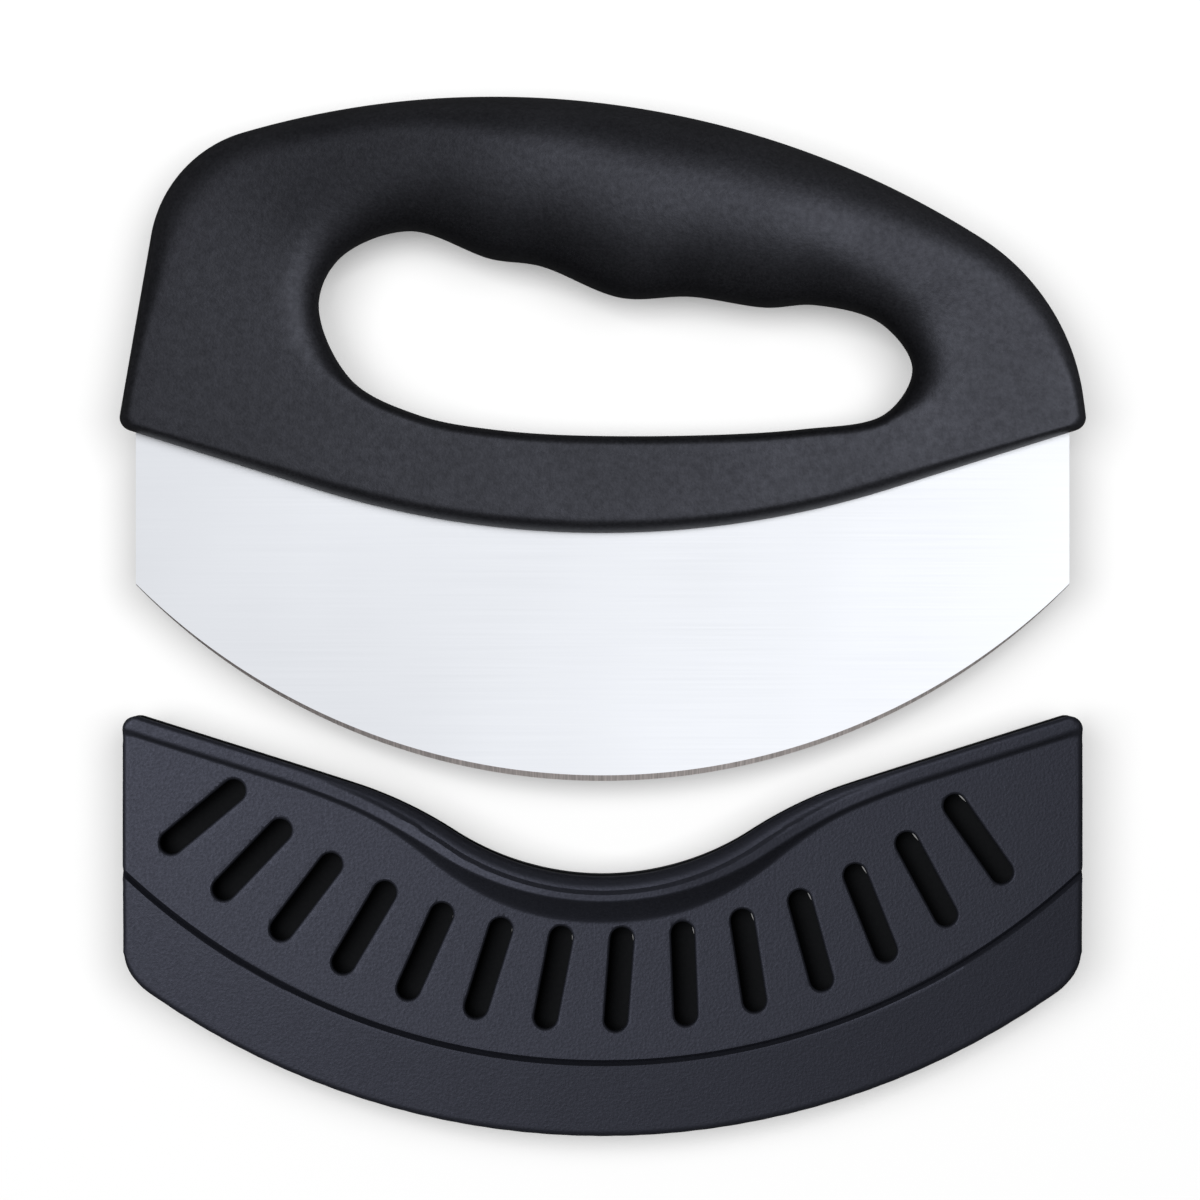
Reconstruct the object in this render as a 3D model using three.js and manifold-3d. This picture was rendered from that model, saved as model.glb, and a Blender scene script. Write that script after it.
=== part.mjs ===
// Mezzaluna: a rocking blade in a closed-loop handle, with a blade guard that slides over the edge.
// Millimetres. The knife lies on its side: X runs along the blade, Y runs from the guard up to the
// crown of the handle, and Z is up through the knife's thickness. The guard is drawn off.

import * as THREE from "three";
import { mergeVertices } from "three/addons/utils/BufferGeometryUtils.js";
import Module from "manifold-3d";

const wasm = await Module();
wasm.setup();
const radians = THREE.MathUtils.degToRad;

// Blade: a flat plate with a circular cutting edge and a tang inside the handle
const BLADE_LENGTH = 180;
const BLADE_THICKNESS = 1.2;
const BLADE_DEPTH = 47.8;
const EDGE_RADIUS = 126;
const BEVEL_WIDTH = 1.1;
const EDGE_LAND = 0.2;
const TANG_DEPTH = 12;
const TANG_INSET = 8;
const TANG_SHOULDER = 1.5;
const LOCK_HOLE_COUNT = 4;
const LOCK_HOLE_DIAMETER = 6;

// Handle outline, measured from the lowest point of its underside
const HANDLE_OVERHANG = 3.4;
const UNDERSIDE_RADIUS = 185;
const UNDERSIDE_SLOPE = radians(17.5);
const CROWN_HEIGHT = 84.1;
const CROWN_OFFSET = -20.7;
const CROWN_RADIUS = 175;
const LEFT_LEAN = radians(9.7);
const RIGHT_LEAN = radians(7.5);
const LEFT_SHOULDER_RADIUS = 25;
const RIGHT_SHOULDER_RADIUS = 43;
const BASE_CORNER_RADIUS = 2.5;

// Handle sections: a flat base that swells into an oval grip. The grip's crest lies at a share of its
// width from the outline, at the left and at the right, with a narrow flat along it. The flat base's
// edges are fuller than an ellipse.
const GRIP_THICKNESS = 24;
const BASE_THICKNESS = 11;
const OUTER_EDGE_ROUND = 3;
const LOOP_EDGE_ROUND = 8;
const BAR_EDGE_ROUND = 2.4;
const GRIP_CREST = [0.3, 0.42];
const GRIP_FLAT = 0.02;
const EDGE_FULLNESS = 0.8;
const SHELL_WALL = 2.5;
const RIB_THICKNESS = 1.6;
const RIB_COUNT = 4;
const RIB_PITCH = 25;
const POST_REACH = 3.6;

// Finger loop, measured up from the bar under it: the floor, the right end, the four finger
// scallops with the bumps between them, and the left lobe
const BAR_HEIGHT = 18.7;
const LOOP_POINTS = [
  [2.7, 0], [38.2, 1.3], [54.6, 4.4], [59.8, 13.1], [53.7, 21.8],
  [41.1, 25.3], [31.5, 24.8], [17, 26.9], [3.5, 26.7], [-12, 32.8], [-21.6, 34.2], [-37.4, 39.6],
  [-50.6, 34.5], [-54.8, 25.3], [-48.6, 11], [-35.9, 4.2], [-20.5, 1.2],
];
const LOOP_LEFT_CENTRE = [-36, 20.5];
const LOOP_RIGHT_CENTRE = [46, 13];

// Where the flat base swells into the grip, how far a station's ray has to point up for it and for the
// wider round of the crown, and where the crest shifts
const SWELL_LEFT = [-80, -12];
const SWELL_RIGHT = [32, 80];
const SWELL_RAY = [0.05, 0.75];
const CROWN_RAY = [-0.2, 0.9];
const CREST_REACH = [-45, 20];

// Guard: two like halves that lie face to face and leave a slot for the blade
const GUARD_TRAVEL = 54;
const GUARD_WALL = 1.9;
const GUARD_END_WALL = 1.5;
const GUARD_BAND = 14.3;
const GUARD_LOWER_RADIUS = 152;
const GUARD_LOWER_CORNER = 10.5;
const GUARD_TOP_CORNER = 2.5;
const GUARD_EDGE_ROUND = 1;
const DIP_DEPTH = 12;
const DIP_RADIUS = 52;
const DIP_SHOULDER_RADIUS = 77;
const GROOVE_RADIUS = 134;
const GROOVE_WIDTH = 1.2;
const GROOVE_DEPTH = 1;

// Guard rim: a raised band along the mouth. Its lip rolls over more in the dip, and in the middle it
// flares into a thumb rest.
const RIM_ROLL = 0.9;
const RIM_CREST = 2.2;
const RIM_SLOPE = 0.9;
const RIM_HEIGHT = 0.8;
const LIP_ROLL = 3;
const LIP_REACH = [28, 60];
const FLARE_CREST = 1.5;
const FLARE_SLOPE = 4.5;
const FLARE_HEIGHT = 4.2;
const FLARE_REACH = [8, 45];
const FLARE_HOLLOW = 1.5;

// Guard slots: a row of slanted round-ended cut-outs along the blade's edge
const VENT_COUNT = 14;
const VENT_WIDTH = 4.4;
const VENT_LENGTH = 20;
const VENT_END_MARGIN = 1.8;
const VENT_INSET = 16;
const VENT_SLANT = radians(6);
const VENT_SHIFT = -0.25;

// Guard inside: pads that pinch the blade, the hollow in the band, and its locating pegs
const PAD_WIDTH = 3;
const PAD_LENGTH = 7;
const PAD_PLACE = 60;
const BAND_WALL = 2.2;
const STOP_WALL = 2;
const PEG_PLACE = 42;
const PEG_DIAMETER = 3;
const PEG_REACH = 1.4;
const BOSS_DIAMETER = 6.4;

// Clearances
const SEAM_GAP = 0.2;
const FIT_GAP = 0.3;
const SEAT_GAP = 0.4;
const SLOT_CLEARANCE = 1;
const SLOT_END_CLEARANCE = 0.7;
const EDGE_CLEARANCE = 1.5;

// Fineness of the facets
const FACET_SAG = 0.05;
const LINE_STEP = 8;
const GRIP_STEP = 4.2;
const ROUND_STEPS = 4;
const RIM_STEPS = 3;
const BEVEL_STEPS = 2;
const LOOP_SAMPLES = 160;
const RING_FACETS = 120;
const HOLE_FACETS = 12;
const VENT_FACETS = 5;

// Sizes that follow from those above
const BLADE_HALF = BLADE_LENGTH / 2;
const TANG_HALF = BLADE_HALF - TANG_INSET;
const HANDLE_HALF = BLADE_HALF + HANDLE_OVERHANG;
const TANG_POCKET = BLADE_THICKNESS / 2 + FIT_GAP;
const SLOT_HALF = BLADE_THICKNESS / 2 + SLOT_CLEARANCE;
const SLOT_REACH = BLADE_HALF + SLOT_END_CLEARANCE;
const GUARD_HALF = SLOT_REACH + GUARD_END_WALL;
const VENT_PITCH = (BLADE_LENGTH - 2 * VENT_END_MARGIN) / VENT_COUNT;
const PANEL_HEIGHT = SLOT_HALF + GUARD_WALL;
const GUARD_DEPTH = BLADE_DEPTH + GUARD_BAND;
const SEAM = SEAM_GAP / 2;
const BEYOND = BLADE_LENGTH + CROWN_HEIGHT + GRIP_THICKNESS;
const EDGE_CENTRE = new THREE.Vector2(0, EDGE_RADIUS - BLADE_DEPTH);
const CROWN_CENTRE = new THREE.Vector2(CROWN_OFFSET, CROWN_HEIGHT - CROWN_RADIUS);
const ARC_REACH = UNDERSIDE_RADIUS * Math.sin(UNDERSIDE_SLOPE);
const ARC_RISE = UNDERSIDE_RADIUS * (1 - Math.cos(UNDERSIDE_SLOPE));

// A geometry as a closed solid, with its shared corners merged and its faces turned outwards
function solid(geometry) {
  const bare = new THREE.BufferGeometry();
  bare.setAttribute("position", geometry.getAttribute("position"));
  bare.setIndex(geometry.getIndex());
  const merged = mergeVertices(bare);
  const corners = merged.getAttribute("position").array;
  const index = merged.getIndex().array;
  const triangles = [];
  const points = [new THREE.Vector3(), new THREE.Vector3(), new THREE.Vector3()];
  let volume = 0;
  for (let i = 0; i < index.length; i += 3) {
    const [a, b, c] = index.slice(i, i + 3);
    if (a === b || b === c || c === a) continue;
    triangles.push(a, b, c);
    [a, b, c].forEach((corner, k) => points[k].fromArray(corners, corner * 3));
    volume += points[0].dot(points[1].cross(points[2]));
  }
  if (volume < 0) triangles.reverse();
  const mesh = new wasm.Mesh({
    numProp: 3,
    vertProperties: new Float32Array(corners),
    triVerts: new Uint32Array(triangles),
  });
  return new wasm.Manifold(mesh);
}

function geometryOf(body) {
  const mesh = body.getMesh();
  const geometry = new THREE.BufferGeometry();
  geometry.setAttribute("position", new THREE.BufferAttribute(mesh.vertProperties, 3));
  geometry.setIndex(new THREE.BufferAttribute(mesh.triVerts, 1));
  geometry.computeVertexNormals();
  return geometry;
}

// The mirror image of a geometry across the mid-plane of the knife
function mirrored(geometry) {
  const image = geometry.clone().scale(1, 1, -1);
  image.setIndex(Array.from(geometry.getIndex().array).reverse());
  image.computeVertexNormals();
  return image;
}

function extruded(outline, low, high) {
  const settings = { depth: high - low, bevelEnabled: false };
  const geometry = new THREE.ExtrudeGeometry(new THREE.Shape(outline), settings);
  return solid(geometry.translate(0, 0, low));
}

// A round bar along Z
function bar(place, diameter, low, high) {
  const geometry = new THREE.CylinderGeometry(diameter / 2, diameter / 2, high - low, HOLE_FACETS);
  return solid(geometry.rotateX(Math.PI / 2).translate(place.x, place.y, (low + high) / 2));
}

// A block between two opposite corners
function block(low, high) {
  const size = high.map((value, i) => value - low[i]);
  const centre = high.map((value, i) => (value + low[i]) / 2);
  return solid(new THREE.BoxGeometry(...size).translate(...centre));
}

// A ring about an upright axis, turned from a profile of [radius, height] points
function turned(profile, centre) {
  const points = profile.map(([radius, height]) => new THREE.Vector2(radius, height));
  const geometry = new THREE.LatheGeometry(points, RING_FACETS);
  return solid(geometry.rotateX(Math.PI / 2).translate(centre.x, centre.y, 0));
}

// A skin over a row of sections with as many points each, closed into a ring or capped at its ends
function lofted(sections, isRing) {
  const count = sections[0].length;
  const spans = isRing ? sections.length : sections.length - 1;
  const index = [];
  for (let i = 0; i < spans; i++) {
    for (let k = 0; k < count; k++) {
      const here = i * count;
      const next = ((i + 1) % sections.length) * count;
      const up = (k + 1) % count;
      index.push(here + k, here + up, next + up, here + k, next + up, next + k);
    }
  }
  const last = (sections.length - 1) * count;
  for (let k = 1; k < count - 1 && !isRing; k++) {
    index.push(0, k + 1, k, last, last + k, last + k + 1);
  }
  const geometry = new THREE.BufferGeometry().setFromPoints(sections.flat());
  return solid(geometry.setIndex(index));
}

function joined(bodies) {
  return bodies.reduce((whole, body) => whole.add(body));
}

// Points along a straight line, without its last one
function line(from, to) {
  const steps = Math.ceil(from.distanceTo(to) / LINE_STEP);
  return Array.from({ length: steps }, (_, i) => from.clone().lerp(to, i / steps));
}

// Points along an arc, with both its ends, as far apart as the facets' sag allows
function arc(centre, radius, from, to, step = Math.sqrt(8 * radius * FACET_SAG)) {
  const steps = Math.ceil((Math.abs(to - from) * radius) / step);
  return Array.from({ length: steps + 1 }, (_, i) => {
    const angle = from + ((to - from) * i) / steps;
    return new THREE.Vector2(radius, 0).rotateAround(new THREE.Vector2(), angle).add(centre);
  });
}

// The arc that rounds a corner between two straight sides
function roundedCorner(before, corner, after, radius) {
  const back = before.clone().sub(corner).normalize();
  const on = after.clone().sub(corner).normalize();
  const halfAngle = Math.acos(back.dot(on)) / 2;
  const inward = back.clone().add(on).normalize();
  const centre = corner.clone().addScaledVector(inward, radius / Math.sin(halfAngle));
  const middle = inward.clone().negate().angle();
  const halfTurn = Math.PI / 2 - halfAngle;
  return arc(centre, radius, middle - halfTurn, middle + halfTurn);
}

// Even angles over a quarter turn, with both its ends
function quarterTurns(steps) {
  return Array.from({ length: steps + 1 }, (_, i) => (i / steps) * (Math.PI / 2));
}

// How far along a direction a point is when it lies at a distance from a centre
function reachAlong(start, direction, centre, distance) {
  const offset = start.clone().sub(centre);
  const along = offset.dot(direction);
  return -along + Math.sqrt(along ** 2 - offset.lengthSq() + distance ** 2);
}

// Height of the handle's underside: an arc that runs out into a straight rise at each end
function undersideHeight(x) {
  const reach = Math.abs(x);
  if (reach > ARC_REACH) return ARC_RISE + (reach - ARC_REACH) * Math.tan(UNDERSIDE_SLOPE);
  return UNDERSIDE_RADIUS - Math.sqrt(UNDERSIDE_RADIUS ** 2 - reach ** 2);
}

// Points that keep a height above the underside
function alongUnderside(from, to, rise) {
  const steps = Math.ceil(Math.abs(to - from) / LINE_STEP);
  return Array.from({ length: steps + 1 }, (_, i) => {
    const x = from + ((to - from) * i) / steps;
    return new THREE.Vector2(x, undersideHeight(x) + rise);
  });
}

// One leaning side of the handle with the shoulder that joins it to the crown
function handleSide(side, lean, shoulderRadius) {
  const corner = new THREE.Vector2(side * HANDLE_HALF, undersideHeight(HANDLE_HALF));
  const rise = new THREE.Vector2(-side * Math.sin(lean), Math.cos(lean));
  const inward = new THREE.Vector2(-side * Math.cos(lean), -Math.sin(lean));
  const start = corner.clone().addScaledVector(inward, shoulderRadius);
  const length = reachAlong(start, rise, CROWN_CENTRE, CROWN_RADIUS - shoulderRadius);
  const top = corner.clone().addScaledVector(rise, length);
  const centre = start.addScaledVector(rise, length);
  const fromCrown = centre.clone().sub(CROWN_CENTRE).angle();
  return { corner, top, centre, fromLine: inward.negate().angle(), fromCrown };
}

// The outer outline of the handle, anticlockwise from its left base corner
function handleOutline() {
  const left = handleSide(-1, LEFT_LEAN, LEFT_SHOULDER_RADIUS);
  const right = handleSide(1, RIGHT_LEAN, RIGHT_SHOULDER_RADIUS);
  const nearLeft = new THREE.Vector2(-ARC_REACH, ARC_RISE);
  const nearRight = new THREE.Vector2(ARC_REACH, ARC_RISE);
  const leftBase = roundedCorner(left.top, left.corner, nearLeft, BASE_CORNER_RADIUS);
  const rightBase = roundedCorner(nearRight, right.corner, right.top, BASE_CORNER_RADIUS);
  return [
    ...leftBase,
    ...alongUnderside(leftBase.at(-1).x, rightBase[0].x, 0).slice(1, -1),
    ...rightBase.slice(0, -1),
    ...line(rightBase.at(-1), right.top),
    ...arc(right.centre, RIGHT_SHOULDER_RADIUS, right.fromLine, right.fromCrown).slice(0, -1),
    ...arc(CROWN_CENTRE, CROWN_RADIUS, right.fromCrown, left.fromCrown, GRIP_STEP).slice(0, -1),
    ...arc(left.centre, LEFT_SHOULDER_RADIUS, left.fromCrown, left.fromLine).slice(0, -1),
    ...line(left.top, leftBase[0]),
  ];
}

function loopOutline() {
  const points = LOOP_POINTS.map(([x, y]) => new THREE.Vector3(x, BAR_HEIGHT + y, 0));
  const samples = new THREE.CatmullRomCurve3(points, true).getPoints(LOOP_SAMPLES);
  return samples.slice(0, -1).map((point) => new THREE.Vector2(point.x, point.y));
}

// Where a ray from a start through a point leaves a closed outline
function crossing(start, through, outline) {
  const ray = through.clone().sub(start).normalize();
  const distances = outline.map((corner, i) => {
    const side = outline[(i + 1) % outline.length].clone().sub(corner);
    const offset = corner.clone().sub(start);
    const share = offset.cross(ray) / ray.cross(side);
    const distance = offset.cross(side) / ray.cross(side);
    return share >= 0 && share <= 1 && distance > 0 ? distance : Infinity;
  });
  return start.clone().addScaledVector(ray, Math.min(...distances));
}

// Stations round the handle: each joins a point of the outline to the finger loop, along a ray
// that starts square to the loop's spine
function handleStations() {
  const loop = loopOutline();
  const [left, right] = [LOOP_LEFT_CENTRE, LOOP_RIGHT_CENTRE]
    .map(([x, y]) => new THREE.Vector2(x, BAR_HEIGHT + y));
  const spine = right.clone().sub(left);
  return handleOutline().map((outer) => {
    const share = THREE.MathUtils.clamp(outer.clone().sub(left).dot(spine) / spine.lengthSq(), 0, 1);
    const start = left.clone().addScaledVector(spine, share);
    const inner = crossing(start, outer, loop);
    const ray = outer.clone().sub(inner).normalize();
    const middle = inner.clone().lerp(outer, 0.5);
    const swell = THREE.MathUtils.smoothstep(middle.x, ...SWELL_LEFT)
      * (1 - THREE.MathUtils.smoothstep(middle.x, ...SWELL_RIGHT))
      * THREE.MathUtils.smoothstep(ray.y, ...SWELL_RAY);
    const shifted = THREE.MathUtils.smoothstep(middle.x, ...CREST_REACH);
    const crest = THREE.MathUtils.lerp(...GRIP_CREST, shifted);
    return { inner, outer, ray, swell, crest, width: inner.distanceTo(outer) };
  });
}

// Half a section of the handle, from the loop over the top to the outline. A wall insets it, for
// the hollow inside, which then reaches down through the seam.
function handleSection(station, wall) {
  const { lerp, smoothstep } = THREE.MathUtils;
  const width = station.width - 2 * wall;
  const height = lerp(BASE_THICKNESS, GRIP_THICKNESS, station.swell) / 2 - wall;
  const towardsBar = smoothstep(-station.ray.y, ...SWELL_RAY);
  const loopRound = lerp(LOOP_EDGE_ROUND, BAR_EDGE_ROUND, towardsBar);
  const innerRound = lerp(loopRound, width * (1 - GRIP_FLAT - station.crest), station.swell);
  const towardsCrown = smoothstep(station.ray.y, ...CROWN_RAY);
  const outerRound = lerp(OUTER_EDGE_ROUND, width * station.crest, towardsCrown);
  const power = lerp(EDGE_FULLNESS, 1, station.swell);
  const rounded = quarterTurns(ROUND_STEPS)
    .map((turn) => [1 - Math.cos(turn) ** power, height * Math.sin(turn) ** power]);
  const floor = wall > 0 ? -wall : SEAM;
  const across = [
    [0, floor],
    ...rounded.slice(1).map(([share, up]) => [share * innerRound, up]),
    ...rounded.slice(1).reverse().map(([share, up]) => [width - share * outerRound, up]),
    [width, floor],
  ];
  return across.map(([reach, up]) => {
    const place = station.inner.clone().addScaledVector(station.ray, wall + reach);
    return new THREE.Vector3(place.x, place.y, up);
  });
}

// Centres of the lock holes, half-way up the tang
function lockPlaces() {
  const pitch = (2 * TANG_HALF) / LOCK_HOLE_COUNT;
  return Array.from({ length: LOCK_HOLE_COUNT }, (_, i) => {
    const x = (i - (LOCK_HOLE_COUNT - 1) / 2) * pitch;
    return new THREE.Vector2(x, undersideHeight(x) + TANG_DEPTH / 2);
  });
}

// The plate above the cutting edge: full length up to its shoulders, then the narrower tang
function plateOutline(gap) {
  const below = -BLADE_DEPTH - EDGE_CLEARANCE;
  const half = BLADE_HALF + gap;
  const tang = TANG_HALF + gap;
  return [
    new THREE.Vector2(-half, below),
    new THREE.Vector2(half, below),
    ...alongUnderside(half, tang, TANG_SHOULDER + gap),
    ...alongUnderside(tang, -tang, TANG_DEPTH + gap),
    ...alongUnderside(-tang, -half, TANG_SHOULDER + gap),
  ];
}

function makeBlade() {
  const half = BLADE_THICKNESS / 2;
  const ground = turned([
    [0, -half],
    [EDGE_RADIUS - BEVEL_WIDTH, -half],
    [EDGE_RADIUS, -EDGE_LAND / 2],
    [EDGE_RADIUS, EDGE_LAND / 2],
    [EDGE_RADIUS - BEVEL_WIDTH, half],
    [0, half],
  ], EDGE_CENTRE);
  const plate = extruded(plateOutline(0), -BLADE_THICKNESS, BLADE_THICKNESS);
  const holes = lockPlaces()
    .map((place) => bar(place, LOCK_HOLE_DIAMETER, -BLADE_THICKNESS, BLADE_THICKNESS));
  return geometryOf(ground.intersect(plate).subtract(joined(holes)));
}

// One half of the handle, before its posts or sockets: a lofted ring, hollow in the grip and the
// cheeks, ribbed across the grip, with a pocket for half of the tang
function makeHandleHalf() {
  const stations = handleStations();
  const ring = lofted(stations.map((station) => handleSection(station, 0)), true);
  const upper = stations.filter((station) => station.ray.y > 0).filter((_, i) => i % 2 === 0);
  const hollow = lofted(upper.map((station) => handleSection(station, SHELL_WALL)), false);
  const ribMiddle = (LOOP_LEFT_CENTRE[0] + LOOP_RIGHT_CENTRE[0]) / 2;
  const ribs = Array.from({ length: RIB_COUNT }, (_, i) => {
    const x = ribMiddle + (i - (RIB_COUNT - 1) / 2) * RIB_PITCH;
    const half = RIB_THICKNESS / 2;
    return block([x - half, BAR_HEIGHT, -GRIP_THICKNESS], [x + half, BEYOND, GRIP_THICKNESS]);
  });
  const pocket = extruded(plateOutline(FIT_GAP), -BLADE_THICKNESS, TANG_POCKET);
  return ring.subtract(hollow.subtract(joined(ribs)).add(pocket));
}

function makeHandleFront() {
  const diameter = LOCK_HOLE_DIAMETER - 2 * FIT_GAP;
  const posts = lockPlaces().map((place) => bar(place, diameter, -POST_REACH, TANG_POCKET + FIT_GAP));
  return geometryOf(makeHandleHalf().add(joined(posts)));
}

function makeHandleBack() {
  const depth = POST_REACH + FIT_GAP;
  const sockets = lockPlaces().map((place) => bar(place, LOCK_HOLE_DIAMETER, 0, depth));
  return mirrored(geometryOf(makeHandleHalf().subtract(joined(sockets))));
}

// The guard's mouth from right to left: a straight run under each end of the handle, and a dip
// between them that bares the blade for the thumb
function mouthEdge() {
  const run = new THREE.Vector2(Math.cos(UNDERSIDE_SLOPE), Math.sin(UNDERSIDE_SLOPE));
  const up = new THREE.Vector2(-run.y, run.x);
  const onLine = new THREE.Vector2(ARC_REACH, ARC_RISE - SEAT_GAP);
  const dipCentre = new THREE.Vector2(0, DIP_RADIUS - DIP_DEPTH);
  const below = onLine.clone().addScaledVector(up, -DIP_SHOULDER_RADIUS);
  const length = reachAlong(below, run, dipCentre, DIP_RADIUS + DIP_SHOULDER_RADIUS);
  const shoulder = below.clone().addScaledVector(run, length);
  const meeting = dipCentre.clone().sub(shoulder).angle();
  const end = onLine.clone().addScaledVector(run, (GUARD_HALF - ARC_REACH) / run.x);
  const shoulderArc = arc(shoulder, DIP_SHOULDER_RADIUS, up.angle(), meeting);
  const dipArc = arc(dipCentre, DIP_RADIUS, meeting - Math.PI, -meeting);
  const right = [...line(end, shoulderArc[0]), ...shoulderArc.slice(0, -1)];
  const left = right.map((point) => new THREE.Vector2(-point.x, point.y)).reverse();
  return [...right, ...dipArc, ...left];
}

// The outline of the guard when seated, anticlockwise from its lower left corner
function guardOutline(mouth) {
  const lowerCentre = new THREE.Vector2(0, GUARD_LOWER_RADIUS - GUARD_DEPTH);
  const cornerX = GUARD_HALF - GUARD_LOWER_CORNER;
  const drop = Math.sqrt((GUARD_LOWER_RADIUS - GUARD_LOWER_CORNER) ** 2 - cornerX ** 2);
  const rightCorner = new THREE.Vector2(cornerX, lowerCentre.y - drop);
  const leftCorner = new THREE.Vector2(-cornerX, rightCorner.y);
  const rightTurn = Math.atan2(-drop, cornerX);
  const leftTurn = -Math.PI - rightTurn;
  const side = new THREE.Vector2(GUARD_HALF, rightCorner.y);
  const topRight = roundedCorner(side, mouth[0], mouth[1], GUARD_TOP_CORNER);
  const topLeft = topRight.map((point) => new THREE.Vector2(-point.x, point.y)).reverse();
  return [
    ...arc(leftCorner, GUARD_LOWER_CORNER, -Math.PI, leftTurn).slice(0, -1),
    ...arc(lowerCentre, GUARD_LOWER_RADIUS, leftTurn, rightTurn).slice(0, -1),
    ...arc(rightCorner, GUARD_LOWER_CORNER, rightTurn, 0),
    ...topRight,
    ...mouth.slice(1, -1),
    ...topLeft,
  ];
}

// How far a place along the mouth has faded from the middle, between the two ends of a reach
function fullness(x, reach) {
  return 1 - THREE.MathUtils.smoothstep(Math.abs(x), ...reach);
}

// The rim along the mouth: a rolled lip, a narrow crest and a hollow slope down to the panel
function makeRim(mouth, prism) {
  const { lerp } = THREE.MathUtils;
  const turns = quarterTurns(RIM_STEPS);
  const sections = mouth.map((edge, i) => {
    const before = mouth[Math.max(i - 1, 0)];
    const after = mouth[Math.min(i + 1, mouth.length - 1)];
    const run = after.clone().sub(before).normalize();
    const inward = new THREE.Vector2(-run.y, run.x);
    const flare = fullness(edge.x, FLARE_REACH);
    const roll = lerp(RIM_ROLL, LIP_ROLL, fullness(edge.x, LIP_REACH));
    const inner = roll + lerp(RIM_CREST, FLARE_CREST, flare);
    const slope = lerp(RIM_SLOPE, FLARE_SLOPE, flare);
    const rise = lerp(RIM_HEIGHT, FLARE_HEIGHT, flare);
    const top = PANEL_HEIGHT + rise;
    const lip = turns.map((turn) => [roll * (1 - Math.cos(turn)), top - roll * (1 - Math.sin(turn))]);
    const fall = turns.map((turn) => {
      const share = Math.sin(turn);
      return [inner + slope * share, PANEL_HEIGHT + rise * (1 - share) ** FLARE_HOLLOW];
    });
    const profile = [[0, SEAM], ...lip, ...fall, [inner + slope, SEAM]];
    return profile.map(([reach, up]) => {
      const place = edge.clone().addScaledVector(inward, reach);
      return new THREE.Vector3(place.x, place.y, up);
    });
  });
  return lofted(sections, false).intersect(prism);
}

// The row of slots, shifted by a share of the pitch so that the slots of the two halves interleave
function makeVents() {
  const radius = EDGE_RADIUS - VENT_INSET;
  const straight = (VENT_LENGTH - VENT_WIDTH) / 2;
  const stadium = new THREE.Shape()
    .absarc(0, straight, VENT_WIDTH / 2, 0, Math.PI)
    .absarc(0, -straight, VENT_WIDTH / 2, Math.PI, 2 * Math.PI);
  const vents = Array.from({ length: VENT_COUNT }, (_, i) => {
    const turn = ((i - (VENT_COUNT - 1) / 2 + VENT_SHIFT) * VENT_PITCH) / radius;
    const settings = { depth: PANEL_HEIGHT, bevelEnabled: false, curveSegments: VENT_FACETS };
    const geometry = new THREE.ExtrudeGeometry(stadium, settings);
    geometry.rotateZ(-VENT_SLANT).translate(0, -radius, 0).rotateZ(turn);
    return solid(geometry.translate(EDGE_CENTRE.x, EDGE_CENTRE.y, 0));
  });
  return joined(vents);
}

// An arc bowl below a height: what lies inside a circle and between two upright sides
function bowlOutline(centre, radius, half, top) {
  const turn = Math.acos(half / radius);
  const rim = [new THREE.Vector2(half, top), new THREE.Vector2(-half, top)];
  return [...arc(centre, radius, turn - Math.PI, -turn), ...rim];
}

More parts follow.
